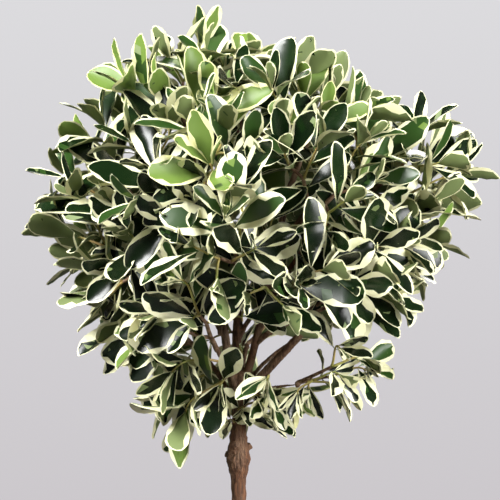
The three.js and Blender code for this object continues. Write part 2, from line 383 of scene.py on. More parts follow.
def noise_in(tree, place, scale, detail, roughness=0.5):
    inputs = {"Vector": place, "Scale": scale, "Detail": detail, "Roughness": roughness}
    return node_in(tree, "ShaderNodeTexNoise", inputs).outputs["Fac"]


def range_in(tree, value, low, high, to_low=0.0, to_high=1.0):
    """A value's way from low to high, turned into one from to_low to to_high."""
    inputs = {"Value": value, "From Min": low, "From Max": high}
    inputs.update({"To Min": to_low, "To Max": to_high})
    return node_in(tree, "ShaderNodeMapRange", inputs).outputs["Result"]


def math_in(tree, operation, first, second, clamp=False):
    inputs = {0: first, 1: second}
    return node_in(tree, "ShaderNodeMath", inputs, operation=operation, use_clamp=clamp).outputs[0]


def mix_in(tree, share, first, second):
    """Two colours, mixed by a share that varies over the surface."""
    inputs = {"Factor": share, 6: first, 7: second}
    return node_in(tree, "ShaderNodeMix", inputs, data_type="RGBA").outputs[2]


def bump_in(tree, height, distance, strength, **more):
    inputs = {"Height": height, "Distance": distance, "Strength": strength, **more}
    return node_in(tree, "ShaderNodeBump", inputs).outputs["Normal"]


def new_group(name, inputs, outputs):
    """An empty shader group with named sockets, given as (name, kind, default)."""
    tree = bpy.data.node_groups.new(name, "ShaderNodeTree")
    for label, kind, default in inputs:
        socket = tree.interface.new_socket(label, in_out="INPUT", socket_type=kind)
        if default is not None:
            socket.default_value = default
    for label, kind in outputs:
        tree.interface.new_socket(label, in_out="OUTPUT", socket_type=kind)
    return tree, tree.nodes.new("NodeGroupInput").outputs, tree.nodes.new("NodeGroupOutput").inputs


def mottle_group():
    """Two colours in soft patches, with a speckle over them and a height for relief."""
    name = "Mottle"
    if name in bpy.data.node_groups:
        return bpy.data.node_groups[name]
    inputs = [
        ("Coordinates", "NodeSocketVector", None),
        ("Patch Scale", "NodeSocketFloat", 20.0),
        ("Speckle Scale", "NodeSocketFloat", 400.0),
        ("Speckle", "NodeSocketFloat", 0.3),
        ("Light", "NodeSocketColor", (0.8, 0.8, 0.8, 1)),
        ("Dark", "NodeSocketColor", (0.2, 0.2, 0.2, 1)),
    ]
    outputs = [("Color", "NodeSocketColor"), ("Height", "NodeSocketFloat")]
    tree, given, out = new_group(name, inputs, outputs)
    patches = noise_in(tree, given["Coordinates"], given["Patch Scale"], 5.0)
    speckle = noise_in(tree, given["Coordinates"], given["Speckle Scale"], 3.0)
    spread = range_in(tree, patches, 0.36, 0.64)
    centred = math_in(tree, "SUBTRACT", speckle, 0.5)
    scaled = math_in(tree, "MULTIPLY", centred, given["Speckle"])
    share = math_in(tree, "ADD", spread, scaled, clamp=True)
    tree.links.new(mix_in(tree, share, given["Dark"], given["Light"]), out["Color"])
    tree.links.new(speckle, out["Height"])
    return tree


def new_material(name, roughness=0.5, sockets=None):
    """A material with one Principled shader. Returns it with its tree and shader."""
    material = bpy.data.materials.new(name)
    material.use_nodes = True
    tree = material.node_tree
    shader = tree.nodes["Principled BSDF"]
    shader.inputs["Roughness"].default_value = roughness
    for key, value in (sockets or {}).items():
        shader.inputs[key].default_value = value
    return material, tree, shader


def opaque(rgb):
    return (*rgb, 1.0)


def darker(rgb, share):
    return tuple(share * value for value in rgb)


def mottled_material(name, light, dark, scales, speckle, bump, roughness, stretch=(1, 1, 1)):
    """Soft patches and fine speckle on a bumpy surface, set out in the piece's own space."""
    material, tree, shader = new_material(name)
    group = node_in(tree, "ShaderNodeGroup", node_tree=mottle_group())
    tree.links.new(place_in(tree, scale=stretch), group.inputs["Coordinates"])
    values = (scales[0], scales[1], speckle, opaque(light), opaque(dark))
    for key, value in zip(("Patch Scale", "Speckle Scale", "Speckle", "Light", "Dark"), values):
        group.inputs[key].default_value = value
    mottled, height = group.outputs["Color"], group.outputs["Height"]
    tree.links.new(mottled, shader.inputs["Base Color"])
    tree.links.new(range_in(tree, height, 0.0, 1.0, *roughness), shader.inputs["Roughness"])
    tree.links.new(bump_in(tree, height, bump, 0.8), shader.inputs["Normal"])
    return material, tree, shader, mottled


# ---------------------------------------------------------------- pot and compost
def clay_material(pot):
    """Fired clay with throwing rings, and a pale mineral bloom that thickens towards the foot."""
    material, tree, shader, mottled = mottled_material(
        "clay", pot.clay_pale, pot.clay, (9.0, 700.0), 0.5, 0.0004, (0.72, 0.95)
    )
    place = place_in(tree)
    low = range_in(tree, height_in(tree, place), 0.0, 0.20, 0.62, 0.40)
    over = math_in(tree, "SUBTRACT", low, noise_in(tree, place, 22.0, 9.0, 0.62))
    bloom = range_in(tree, over, -0.03, 0.16, 0.0, 0.75)
    dusted = mix_in(tree, bloom, mottled, opaque(pot.bloom))
    inputs = {"Vector": place, "Scale": 55.0, "Distortion": 2.5, "Detail": 2.0}
    rings = node_in(tree, "ShaderNodeTexWave", inputs, bands_direction="Z")
    grain = shader.inputs["Normal"].links[0].from_socket
    ringed = bump_in(tree, rings.outputs["Fac"], 0.0003, 0.35, Normal=grain)
    tree.links.new(dusted, shader.inputs["Base Color"])
    tree.links.new(ringed, shader.inputs["Normal"])
    return material


def lumps(x, y, crumb):
    """Height of the compost's crumbs over its level."""
    coarse = noise.fractal(Vector((x * 60, y * 60, 0.3)), 1.0, 2.0, 3)
    fine = noise.fractal(Vector((x * 220, y * 220, 4.1)), 0.8, 2.1, 3)
    return crumb * (0.45 * coarse + 0.4 * fine)


class SPINDLE_OT_pot(bpy.types.Operator):
    """Models the clay pot with its rolled rim and drain hole"""

    bl_idname = "spindle.pot"
    bl_label = "Clay pot"

    def execute(self, context):
        pot = context.scene.spindle.pot
        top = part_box("pot")[1].z
        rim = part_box("pot")[1].x
        foot = foot_radius("pot", 0.0035)
        rim_foot = top - pot.rim_height
        body = rim - pot.rim_step
        edge = 0.003  # how far the pot's edges are rounded off
        steps = 8
        sides = [k / steps for k in range(1, steps + 1)]
        rings = [
            (pot.hole_radius, 0.0),
            (foot - 0.002, 0.0),
            (foot, edge),
            *((foot + (body - foot) * up, edge + (rim_foot - edge) * up) for up in sides),
            (rim - 0.001, rim_foot),
            (rim, rim_foot + edge),
            (rim, top - edge),
            (rim - edge, top),
            (body - pot.wall + edge, top),
            (body - pot.wall, top - 0.004),
            (body - pot.wall - 0.0005, rim_foot),
            (foot - pot.wall, pot.floor),
            (pot.hole_radius, pot.floor),
        ]
        piece = raised_rings("clay_pot", rings, 96)
        apply_modifier(piece, "BEVEL", width=0.0016, segments=3, limit_method="ANGLE")

        def hand_made(point):
            wobble = noise.noise(point * 14) * 0.0009
            flat = Vector((point.x, point.y, 0))
            return point + flat.normalized() * wobble * min(point.z / 0.02, 1)

        shape_points(piece, hand_made)
        make_only(piece)
        bpy.ops.object.shade_smooth_by_angle(angle=math.radians(40))
        finish_piece(piece, [clay_material(pot)], ["pot"])
        return {"FINISHED"}


class SPINDLE_OT_compost(bpy.types.Operator):
    """Models the compost with its crumbs, and the bark chips that lie on it"""

    bl_idname = "spindle.compost"
    bl_label = "Compost"

    def execute(self, context):
        pot = context.scene.spindle.pot
        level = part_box("compost")[1].z
        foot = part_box("compost")[0].z
        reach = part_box("compost")[1].x
        foot_reach = foot_radius("compost", 0.001)
        low = level - pot.rim_height / 2
        steps = 40
        rings = [(0.002, foot), (foot_reach, foot), (reach, low), (reach, level - 0.003)]
        rings += [(reach * (1 - k / steps) + 0.002, level) for k in range(1, steps + 1)]
        piece = raised_rings("compost_bed", rings, 120)
        apply_modifier(piece, "TRIANGULATE")

        def crumbled(point):
            if point.z < level - 0.001:
                return point
            from_edge = reach - math.hypot(point.x, point.y)
            damped = min(from_edge / 0.012, 1)
            dish = 0.002 * (1 - damped)
            return Vector((point.x, point.y, level - dish + lumps(point.x, point.y, pot.crumb)))

        shape_points(piece, crumbled)
        make_only(piece)
        bpy.ops.object.shade_smooth()
        dark = darker(pot.compost, 0.4)
        look = mottled_material(
            "compost", pot.compost, dark, (90.0, 900.0), 0.9, 0.0012, (0.8, 1.0)
        )
        finish_piece(piece, look[:1], ["compost"])
        self.scatter_chips(pot, level, reach)
        return {"FINISHED"}

    def scatter_chips(self, pot, level, reach):
        """Flat, uneven chips of composted bark, lying on the crumbs."""
        rng = np.random.default_rng(5)
        corners = np.array([(x, y, z) for z in (-1, 1) for y in (-1, 1) for x in (-1, 0, 1)], float)
        faces = [(0, 3, 4, 1), (1, 4, 5, 2), (6, 7, 10, 9), (7, 8, 11, 10), (0, 1, 7, 6)]
        faces += [(1, 2, 8, 7), (3, 9, 10, 4), (4, 10, 11, 5), (0, 6, 9, 3), (2, 5, 11, 8)]
        points, shades = [], []
        for _ in range(pot.chips):
            radius = reach * math.sqrt(rng.uniform(0.02, 0.93))
            turn = rng.uniform(0, 2 * math.pi)
            x, y = radius * math.cos(turn), radius * math.sin(turn)
            size = np.array([rng.uniform(2.2, 7.0), rng.uniform(1.4, 3.4), rng.uniform(0.5, 1.2)])
            chip = corners * size * 1e-3 * rng.uniform(0.7, 1.15, corners.shape)
            chip[:, 2] += 0.0008 * np.cos(corners[:, 0] * 1.5) * rng.uniform(-1, 1)
            tilt = Matrix.Rotation(rng.normal(0, 0.28), 3, "X")
            tilt = tilt @ Matrix.Rotation(rng.normal(0, 0.28), 3, "Y")
            spin = np.array(Matrix.Rotation(rng.uniform(0, 6.3), 3, "Z") @ tilt)
            lift = level + lumps(x, y, pot.crumb) + 0.0004
            points.append(chip @ spin.T + (x, y, lift))
            shades.append(np.full(len(faces), rng.choice(3, p=(0.5, 0.3, 0.2))))
        piece = piece_of_copies("bark_chips", np.array(points), faces, np.array(shades), False)
        browns = [(0.085, 0.042, 0.022), (0.14, 0.075, 0.038), (0.045, 0.028, 0.018)]
        materials = []
        for k, brown in enumerate(browns):
            look = (brown, darker(brown, 0.5), (150.0, 900.0), 0.7, 0.0003, (0.7, 0.95))
            materials.append(mottled_material(f"chip_{k}", *look)[0])
        finish_piece(piece, materials)


# ---------------------------------------------------------------- bark
FORK_BALLS = ((0.0088, (0, 0, 0.001)), (0.0070, (0.001, 0.001, 0.009)))  # radius, place from it
KNOB_STUBS = ((0.5, 0.004, 0.0040), (2.7, -0.003, 0.0036), (4.4, 0.007, 0.0032))  # turn, up, radius
STEM_STUBS = ((0.34, 1.1), (0.52, 3.9), (0.69, 5.6), (0.78, 2.2))  # share of the stem, turn


def bark_material(bark):
    """Ridged brown bark with dark cracks along the stem and grey weathered patches."""
    material, tree, shader, mottled = mottled_material(
        "bark", bark.worn, bark.old, (45.0, 900.0), 0.6, 0.0003, (0.70, 0.95), (1, 1, 0.45)
    )
    fibres = noise_in(tree, place_in(tree, scale=(1, 1, 0.13)), 520.0, 6.0, 0.7)
    cracked = range_in(tree, fibres, 0.33, 0.62)
    coloured = mix_in(tree, cracked, opaque(bark.crack), mottled)
    tree.links.new(coloured, shader.inputs["Base Color"])
    tree.links.new(bump_in(tree, cracked, 0.0005, 0.7), shader.inputs["Normal"])
    return material


def add_ball(radius, place):
    deselect_all()
    bpy.ops.mesh.primitive_ico_sphere_add(subdivisions=3, radius=radius, location=place)
    return bpy.context.object


def add_stub(radius, depth, place, turn, lean):
    """The stub of a shoot that was cut away, standing out from the stem."""
    deselect_all()
    bpy.ops.mesh.primitive_cylinder_add(
        vertices=20, radius=radius, depth=depth, location=place, rotation=(0, lean, turn)
    )
    stub = bpy.context.object
    edit_whole()
    bpy.ops.mesh.bevel(offset=radius * 0.35, segments=2)
    bpy.ops.object.mode_set(mode="OBJECT")
    return stub


class SPINDLE_OT_bark(bpy.types.Operator):
    """Models the bark over the stem, limbs and boughs as one grown skin"""

    bl_idname = "spindle.bark"
    bl_label = "Bark"

    def execute(self, context):
        bark = context.scene.spindle.bark
        parts = [self.wood_copy(name) for name in WOOD]
        parts += self.collars()
        knob = STEM_FOOT + (FORK - STEM_FOOT) * bark.knob_share
        parts += self.stubs(knob)
        deselect_all()
        for part in parts:
            part.select_set(True)
        bpy.context.view_layer.objects.active = parts[0]
        bpy.ops.object.join()
        piece = bpy.context.object
        piece.name = piece.data.name = "bark_skin"
        bpy.ops.object.transform_apply()
        apply_modifier(piece, "REMESH", mode="VOXEL", voxel_size=bark.voxel)
        apply_modifier(piece, "SMOOTH", factor=0.5, iterations=6)
        self.carve(piece, bark, knob)
        make_only(piece)
        bpy.ops.object.shade_smooth()
        finish_piece(piece, [bark_material(bark)], WOOD)
        return {"FINISHED"}

    def wood_copy(self, name):
        """A merged copy of one CAD piece of wood."""
        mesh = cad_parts[name].data.copy()
        mesh.materials.clear()
        piece = bpy.data.objects.new(f"wood_{name}", mesh)
        bpy.context.scene.collection.objects.link(piece)
        make_only(piece)
        edit_whole()
        bpy.ops.mesh.remove_doubles(threshold=1e-5)
        bpy.ops.object.mode_set(mode="OBJECT")
        return piece

    def collars(self):
        """The swollen collars where boughs leave the wood, and the swelling at the fork."""
        made = [add_ball(radius, FORK + offset) for radius, offset in FORK_BALLS]
        for name in WOOD:
            if name.startswith("bough_"):
                mass = middle(name.replace("bough_", "foliage_"))
                foot = node_points(name).mean(0) * 2 - mass
                place, radius = end_of(name, foot, 0.0035)
                made.append(add_ball(max(radius, 0.002) * 1.30, place))
        return made

    def stubs(self, knob):
        """Stubs round the pruning knob, and a few smaller ones down the stem."""
        made = []
        for turn, height, radius in KNOB_STUBS:
            out = np.array([math.cos(turn), math.sin(turn), 0.35])
            place = knob + out * 0.0075 + (0, 0, height)
            made.append(add_stub(radius, 0.012, place, turn, math.radians(66)))
        for share, turn in STEM_STUBS:
            out = np.array([math.cos(turn), math.sin(turn), 0.3])
            place = STEM_FOOT + (FORK - STEM_FOOT) * share + out * 0.0062
            made.append(add_stub(0.0022, 0.006, place, turn, math.radians(68)))
        return made

    def carve(self, piece, bark, knob):
        """Cracks along the stem, faint rings at the old leaf scars, and folds at the knob."""
        normals = [vertex.normal.copy() for vertex in piece.data.vertices]
        for vertex, normal in zip(piece.data.vertices, normals):
            place = vertex.co
            thick = min(max((FORK[2] + 0.03 - place.z) / 0.06, 0.35), 1.0)
            sway = 3 * noise.noise(place * 40)
            along = Vector((place.x * 430, place.y * 430, place.z * 48 + sway))
            crack = abs(noise.noise(along)) * 2 - 0.6
            lump = noise.noise(place * 130)
            scar = math.exp(-(((place.z * 1000 + 2.5 * lump) % 31 - 15) / 1.6) ** 2)
            near = math.exp(-(((place.z - knob[2]) / 0.014) ** 2))
            fold = noise.noise(place * 310) + 0.6 * noise.noise(place * 640)
            depth = bark.relief * (crack + 0.5 * lump) + 0.0004 * scar
            vertex.co = place + normal * (thick * depth + near * bark.knob_relief * fold * 0.6)


# ---------------------------------------------------------------- branching
HOLLOW = unit(np.array([0.050, -0.170, 0.028]))  # the way to the hollow from the crown's middle
HOLLOW_SPREAD = math.radians(16)
HOLLOW_DEPTH = 0.100  # how much deeper the shoots end there
HOLLOW_SPACING = 0.50  # and how much further apart, as a share of the usual spacing
LOW_SPACING = 0.72  # how close and how deep the low spray's shoots end, as shares of the others'
LOW_DEPTH = 0.4
SEED_DENSITY = 9000.0  # places tried for a shoot's tip, to a square metre of the crown's skin
RANK_NOISE = 0.004  # how much chance there is in which shoots come first, and in their headings
HEADING_NOISE = 0.16
OUTER_FACE = 0.42  # the least cosine between outwards and the normal of a face of the outer skin
AHEAD = 0.42  # and between a bough's heading and the way to a shoot that it feeds
JOINT_SHARES = (0.30, 0.55, 0.78, 0.96)  # where twigs leave a bough
FORK_SHARES = (0.34, 0.46)  # how far along the way to its nearest shoot a twig forks
FORK_NOISE = 0.0025
PIPE_POWER = 0.40  # how a twig's radius follows from the number of shoots that it feeds


class Twig:
    """A tapering twig from one point to another: a cubic curve and the radii of its two ends."""

    def __init__(self, start, heading, end, arrival, radii, leafy=False, mass=""):
        reach = np.linalg.norm(end - start)
        self.controls = (start, start + heading * reach * 0.36, end - arrival * reach * 0.34, end)
        self.arrival = arrival
        self.radii = radii
        self.leafy = leafy
        self.mass = mass

    def at(self, share):
        a, b, c, d = self.controls
        rest = 1 - share
        return a * rest**3 + 3 * b * share * rest**2 + 3 * c * share**2 * rest + d * share**3

    def tangent(self, share):
        return unit(self.at(min(share + 0.02, 1.0)) - self.at(share - 0.02))

    def length(self):
        points = np.array([self.at(share) for share in np.linspace(0, 1, 9)])
        return np.linalg.norm(np.diff(points, axis=0), axis=1).sum()


def outer_points(name, rng, density):
    """Random points on a mass's outer skin, so many to a square metre."""
    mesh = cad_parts[name].data
    faces, areas = [], []
    for face in mesh.polygons:
        out = unit(np.array(face.center) - CROWN_CENTRE)
        if np.array(face.normal) @ out > OUTER_FACE:
            faces.append([np.array(mesh.vertices[i].co) for i in face.vertices[:3]])
            areas.append(face.area)
    corners, areas = np.array(faces), np.array(areas)
    picks = rng.choice(len(areas), round(density * areas.sum()), p=areas / areas.sum())
    shares = rng.dirichlet((1, 1, 1), len(picks))
    return (corners[picks] * shares[:, :, None]).sum(1)


def in_window(points):
    """True where points lie in one of the gaps of open sky: over the low spray, over the fork."""
    inside = np.zeros(points.shape[:-1], bool)
    for right, above, half_width, half_height in WINDOWS:
        across = (points[..., 0] - FORK[0] - right) / half_width
        up = (points[..., 2] - FORK[2] - above) / half_height
        inside |= across**2 + up**2 < 1
    return inside


def in_hollow(out):
    """How far a direction lies in the hollow, where the crown is open on its shaded inside."""
    return math.exp(-((math.acos(min(float(out @ HOLLOW), 1.0)) / HOLLOW_SPREAD) ** 2))


def proudness(points, reach=0.07):
    """How far each point stands out from the skin round it, seen from the crown's middle."""
    heights = np.linalg.norm(points - CROWN_CENTRE, axis=1)
    proud = np.empty(len(points))
    for i, point in enumerate(points):
        near = np.linalg.norm(points - point, axis=1) < reach
        proud[i] = heights[i] - heights[near].mean()
    return proud


def shoot_tips(crown, rng):
    """Where the shoots end, spaced over the whole crown, as {mass: [(tip, heading)]}.

    The points that stand out furthest are taken first, so that the crown's outline is kept.
    """
    seeds = [(name, point) for name in MASSES for point in outer_points(name, rng, SEED_DENSITY)]
    proud = proudness(np.array([point for _, point in seeds]))
    order = np.argsort(-(proud + rng.normal(0, RANK_NOISE, len(seeds))))
    kept = np.empty((0, 3))
    tips = {name: [] for name in MASSES}
    for rank, i in enumerate(order):
        name, point = seeds[i]
        loose = name == LOW_SPRAY
        out = unit(point - CROWN_CENTRE)
        spacing = crown.spacing * (LOW_SPACING if loose else 1 + HOLLOW_SPACING * in_hollow(out))
        if len(kept) and np.linalg.norm(kept - point, axis=1).min() < spacing:
            continue
        kept = np.vstack([kept, point])
        lift = crown.lift * (1 - 0.75 * max(-out[2], 0) ** 0.5)
        heading = unit(out + UP * lift + rng.normal(0, HEADING_NOISE, 3))
        depth = crown.inset + crown.inset_swing * (rank / len(seeds)) ** 0.7 * rng.uniform(0.6, 1.1)
        depth += HOLLOW_DEPTH * in_hollow(out)
        tip = point - out * depth * (LOW_DEPTH if loose else 1)
        if not in_window(tip):
            tips[name].append((tip, heading))
    return tips


def grow(twigs, crown, rng, mass, start, heading, goals):
    """Grows a twig towards its goals and forks it between them until each shoot has its own."""
    thick = crown.shoot_radius * 1.25
    if len(goals) == 1:
        tip, arrival = goals[0]
        heading = unit(heading * 0.7 + unit(tip - start))
        radii = (thick, crown.shoot_radius * 0.7)
        twigs.append(Twig(start, heading, tip, arrival, radii, True, mass))
        return
    tips = np.array([tip for tip, _ in goals])
    target = tips.mean(0)
    way = unit(target - start)
    heading = unit(heading * 0.6 + way)
    reach = np.linalg.norm(tips - start, axis=1).min()
    end = start + way * reach * rng.uniform(*FORK_SHARES) + rng.normal(0, FORK_NOISE, 3)
    spread = tips - target
    axis = np.linalg.svd(spread, full_matrices=False)[2][0]
    side = spread @ axis
    halves = [[g for g, s in zip(goals, side) if s < 0], [g for g, s in zip(goals, side) if s >= 0]]
    radii = (thick * len(goals) ** PIPE_POWER, thick * max(map(len, halves)) ** PIPE_POWER)
    arrival = unit(way + heading * 0.3)
    twigs.append(Twig(start, heading, end, arrival, radii, False, mass))
    for half in halves:
        towards = unit(np.mean([tip for tip, _ in half], axis=0) - end)
        grow(twigs, crown, rng, mass, end, unit(arrival + towards * 0.9), half)


def grown_crown(crown):
    """Every twig and shoot of the crown, from the boughs out. The same each time for one seed."""
    rng = np.random.default_rng(crown.seed)
    tips = shoot_tips(crown, rng)
    limbs = [name for name in WOOD if name.startswith("limb_")]
    twigs = []
    for mass in MASSES:
        if not tips[mass]:
            continue
        centre = middle(mass)
        bough = mass.replace("foliage_", "bough_")
        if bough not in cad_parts:
            bough = min(limbs, key=lambda name: np.linalg.norm(end_of(name, centre)[0] - centre))
        joints = [along_wood(bough, centre, share) for share in JOINT_SHARES]
        heading = unit(joints[-1] - joints[-2])
        groups = {}
        for tip, arrival in tips[mass]:
            ahead = [i for i, joint in enumerate(joints) if unit(tip - joint) @ heading > AHEAD]
            groups.setdefault(max(ahead, default=0), []).append((tip, arrival))
        for i, goals in groups.items():
            grow(twigs, crown, rng, mass, joints[i], heading, goals)
    return twigs + stem_shoots(crown), rng


def stem_shoots(crown):
    """Short shoots round the top of the stem, dressed in small leaves like the low spray."""
    highest, lowest = 0.006, 0.032  # below the fork
    longest, step = 0.030, 0.004  # how far they reach out, and how much less the next ones do
    shoots = []
    for k in range(crown.stem_shoots):
        turn = k * GOLDEN_ANGLE - 1.2
        drop = highest + (lowest - highest) * k / crown.stem_shoots
        out = np.array([math.cos(turn), math.sin(turn), 0.0])
        start = FORK + out * 0.004 - UP * (drop + 0.004)
        tip = FORK + out * (longest - step * (k % 3)) + (0.008, 0, -drop)
        radii = (crown.shoot_radius * 1.1, crown.shoot_radius * 0.7)
        heading = unit(out + UP * 0.3)
        shoots.append(Twig(start, heading, tip, unit(out - UP * 0.2), radii, True, LOW_SPRAY))
    return shoots


# ---------------------------------------------------------------- twigs
def tubes(name, twigs, rings, sides):
    """Closed, tapering tubes along the twigs, as one mesh object."""
    shares = np.linspace(0, 1, rings)
    turns = np.linspace(0, 2 * math.pi, sides, endpoint=False)
    points = np.empty((len(twigs), rings, sides, 3))
    for i, twig in enumerate(twigs):
        across = unit(np.cross(twig.tangent(0.02), (0.31, 0.17, 0.05)))
        for j, share in enumerate(shares):
            way = twig.tangent(min(max(share, 0.02), 0.98))
            across = unit(across - way * (across @ way))
            beside = np.cross(way, across)
            radius = twig.radii[0] + (twig.radii[1] - twig.radii[0]) * share
            ring = np.outer(np.cos(turns), across) + np.outer(np.sin(turns), beside)
            points[i, j] = twig.at(share) + ring * radius
    faces = []
    for j in range(rings - 1):
        for k in range(sides):
            a, b = j * sides + k, j * sides + (k + 1) % sides
            faces.append((a, b, b + sides, a + sides))
    faces.append(tuple(reversed(range(sides))))
    faces.append(tuple((rings - 1) * sides + k for k in range(sides)))
    return piece_of_copies(name, points.reshape(len(twigs), -1, 3), faces)


class SPINDLE_OT_twigs(bpy.types.Operator):
    """Grows the brown twigs from the boughs and the green shoots from the twigs"""

    bl_idname = "spindle.twigs"
    bl_label = "Twigs and shoots"

    def execute(self, context):
        settings = context.scene.spindle
        twigs, _ = grown_crown(settings.crown)
        brown = [twig for twig in twigs if not twig.leafy]
        green = [twig for twig in twigs if twig.leafy]
        bark = settings.bark
        look = (bark.worn, darker(bark.old, 0.45), (160.0, 1500.0), 0.5, 0.0002, (0.65, 0.9))
        old = mottled_material("twig_bark", *look)[0]
        look = (bark.green_stem, bark.tan_stem, (32.0, 1200.0), 0.3, 0.0001, (0.42, 0.62))
        fresh = mottled_material("green_stem", *look)[0]
        finish_piece(tubes("twigs", brown, 6, 8), [old])
        finish_piece(tubes("green_shoots", green, 9, 7), [fresh])
        return {"FINISHED"}


# ---------------------------------------------------------------- leaves
# A leaf is a closed eight-sided tube, flattened: five corners over the blade and three under it at
# each station, drawn to a point where it leaves the twig and at its tip.
STATIONS = np.array([0.0, 0.15, 0.32, 0.48, 0.63, 0.77, 0.89, 0.97])
TOP_CORNERS = 5
RING = 8
ROWS = len(STATIONS) + 1
MARGIN_RANGE = (0.10, 0.82)  # the least and the most of a leaf's half width that is cream
OVERHANG = 0.008  # how far a leaf may stand out of the CAD model's box
LEAF_CORNERS = 2 + RING * len(STATIONS)
SHADES = ("cream", "butter", "deep", "dark", "mid", "sage", "lime", "under", "under_cream")
SHADE = {name: i for i, name in enumerate(SHADES)}
# A spray's colours by how fresh it is: its leaves' middles, the patches in them, the margins and
# the undersides. Sprays in shade are moved down this table, which paints shade into their greens.
LEAF_PARTS = ("middle", "outer", "edge", "under")
LOOKS = (
    (0.95, ("lime", "mid", "butter", "lime")),
    (0.80, ("mid", "lime", "cream", "under")),
    (0.50, ("dark", "mid", "cream", "under")),
    (-math.inf, ("deep", "dark", "cream", "under")),
)
# By tier: how much more of a leaf's width is cream, and how much fresher the sprays are.
TIER_LOOKS = {
    "top": (-0.02, 0.29),
    "upper": (0.01, 0.05),
    "middle": (0.05, -0.04),
    "lower": (0.12, -0.04),
}


def blade_width(share, tip):
    """Half the width of a spoon-shaped blade, as a share of its widest: wedge base, blunt tip."""
    widest = 1 / (1 + tip)
    return share * (1 - share) ** tip / (widest * (1 - widest) ** tip)


def leaf_faces():
    """The corner numbers of one leaf's faces, from its stalk to its tip."""
    around = [(k, (k + 1) % RING) for k in range(RING)]
    rings = [1 + RING * j for j in range(len(STATIONS))]
    faces = [(1 + n, 1 + k, 0) for k, n in around]
    for a, b in zip(rings, rings[1:]):
        faces += [(a + k, a + n, b + n, b + k) for k, n in around]
    return faces + [(rings[-1] + k, rings[-1] + n, LEAF_CORNERS - 1) for k, n in around]


class Leaf:
    """One leaf's place, size, form and colours."""

    def __init__(self, base, along, face, size, bend, spray):
        self.base = base
        self.along = unit(along)
        self.face = unit(face - self.along * (face @ self.along))
        self.size = size
        self.bend = bend
        self.spray = spray


def leaf_corners(leaves, crown, rng):
    """Corners of all the leaves, as (leaf, corner, xyz)."""
    count, rows = len(leaves), len(STATIONS)
    base, along, face, size, bend = (
        np.array([getattr(leaf, value) for leaf in leaves])[:, None, None]
        for value in ("base", "along", "face", "size", "bend")
    )
    margin = np.array([leaf.spray["margin"] for leaf in leaves])[:, None, None]
    margin = margin * rng.lognormal(0, 0.35, (count, 1, 1))
    side = np.cross(along, face)
    grown = np.clip(size / crown.leaf_length, 0.3, 1.0)

    def along_rib(share):
        arc = bend * share
        run = size * np.sin(arc) / bend + crown.petiole * grown
        drop = size * (1 - np.cos(arc)) / bend
        spot = base + along * run[..., None] - face * drop[..., None]
        normal = face * np.cos(arc)[..., None] + along * np.sin(arc)[..., None]
        return spot, normal

    # the green runs out into the cream in lobes that lie between the side veins
    turn = (np.arange(rows)[None, :, None] + rng.integers(0, 4, (count, 1, 2))) * math.pi / 2
    lobes = np.sin(turn + 0.8) * rng.uniform(0.1, 0.85, (count, rows, 2))
    bites = (rng.random((count, rows, 2)) < 0.12) * 0.22
    edge = 1 - np.clip(margin * (1 + lobes) + bites, *MARGIN_RANGE)
    edge[:, 0] = 0.6
    edge[:, -1] *= 0.75
    left, right = edge[..., 0], edge[..., 1]
    zero = np.zeros_like(left)
    notch = 1 + rng.normal(0, 0.035, (count, rows, 2))
    over = [-notch[..., 0], -left, zero, right, notch[..., 1]]
    across = np.stack([*over, right, zero, -left], -1)
    station = STATIONS[None, :, None]
    share = station + 0.40 * np.abs(across) * station * (1 - station)
    spot, normal = along_rib(share)
    breadth = crown.leaf_width * rng.uniform(0.80, 1.20, (count, 1, 1))
    half = 0.5 * size * breadth * blade_width(share, rng.uniform(0.48, 0.78, (count, 1, 1)))
    half = np.maximum(half * np.minimum(grown * 0.6 + 0.45, 1), 0.0007 * grown)
    # each blade is folded along its rib, cupped, wavy and slightly puckered
    fold = rng.uniform(0.04, 0.30, (count, 1, 1)) + 0.35 * (1 - grown)
    cup = rng.uniform(-0.10, 0.26, (count, 1, 1))
    wave = rng.normal(0, 0.055, (count, rows, 2))
    wavy = np.where(across < 0, wave[..., :1], wave[..., 1:])
    rise = half * (fold * np.abs(across) + (cup + wavy) * across**2)
    pucker = rng.normal(0, 0.00025, (count, rows, RING))
    pucker[..., [0, 2, 4]] = 0
    rise += pucker
    rise[..., TOP_CORNERS:] -= crown.leaf_thickness * (1 + (STATIONS < 0.01))[None, :, None]
    rings = spot + side * (half * across)[..., None] + normal * rise[..., None]
    tip, _ = along_rib(np.ones((1, 1, 1)))
    return np.concatenate([base[:, 0], rings.reshape(count, -1, 3), tip[:, 0]], 1)


def leaf_shades(leaves, rng):
    """The colour of every face, dealt out by spray: rows from stalk to tip, eight faces each."""
    count = len(leaves)
    shades = np.empty((count, ROWS, RING), int)
    inner, outer, edge, under = (
        np.array([SHADE[leaf.spray[part]] for leaf in leaves])[:, None, None] for part in LEAF_PARTS
    )
    inner = np.where(rng.random((count, 1, 1)) < 0.2, outer, inner)
    marbled = rng.random((count, 1, 1))
    chance = rng.random((count, ROWS, 2))
    blade = np.where(chance < 0.34 * (marbled - 0.40), outer, inner)
    shades[:, :, [1, 2]] = np.where(chance < 0.50 * (marbled - 0.80), SHADE["sage"], blade)
    shades[:, :, [0, 3]] = edge
    shades[:, :, [5, 6]] = under
    shades[:, :, [4, 7]] = SHADE["under_cream"]
    shades[:, -1:, :4] = edge
    shades[:, -1, 4:] = SHADE["under_cream"]
    shades[:, 0, :] = SHADE["lime"]
    return shades


def spray_look(rng, place, tier, shaded):
    """The colours that one spray's leaves share. Sprays that lie in shade are dealt older, darker
    greens: this is painted shade, partly true, as shaded leaves inside a crown are older and
    darker.
    """
    more_cream, fresher = TIER_LOOKS[tier]
    patch = 0.16 * noise.noise(Vector(place) * 9.0)
    margin = np.clip(rng.normal(0.20, 0.06) + patch + more_cream, 0.11, 0.60)
    # painted shade: a spray in shade counts as much less fresh, so it is dealt deep or dark greens
    fresh = rng.random() + fresher - (0.5 if shaded else 0.0)
    look = next(names for least, names in LOOKS if fresh > least)
    return {"margin": margin, "open": False, **dict(zip(LEAF_PARTS, look))}


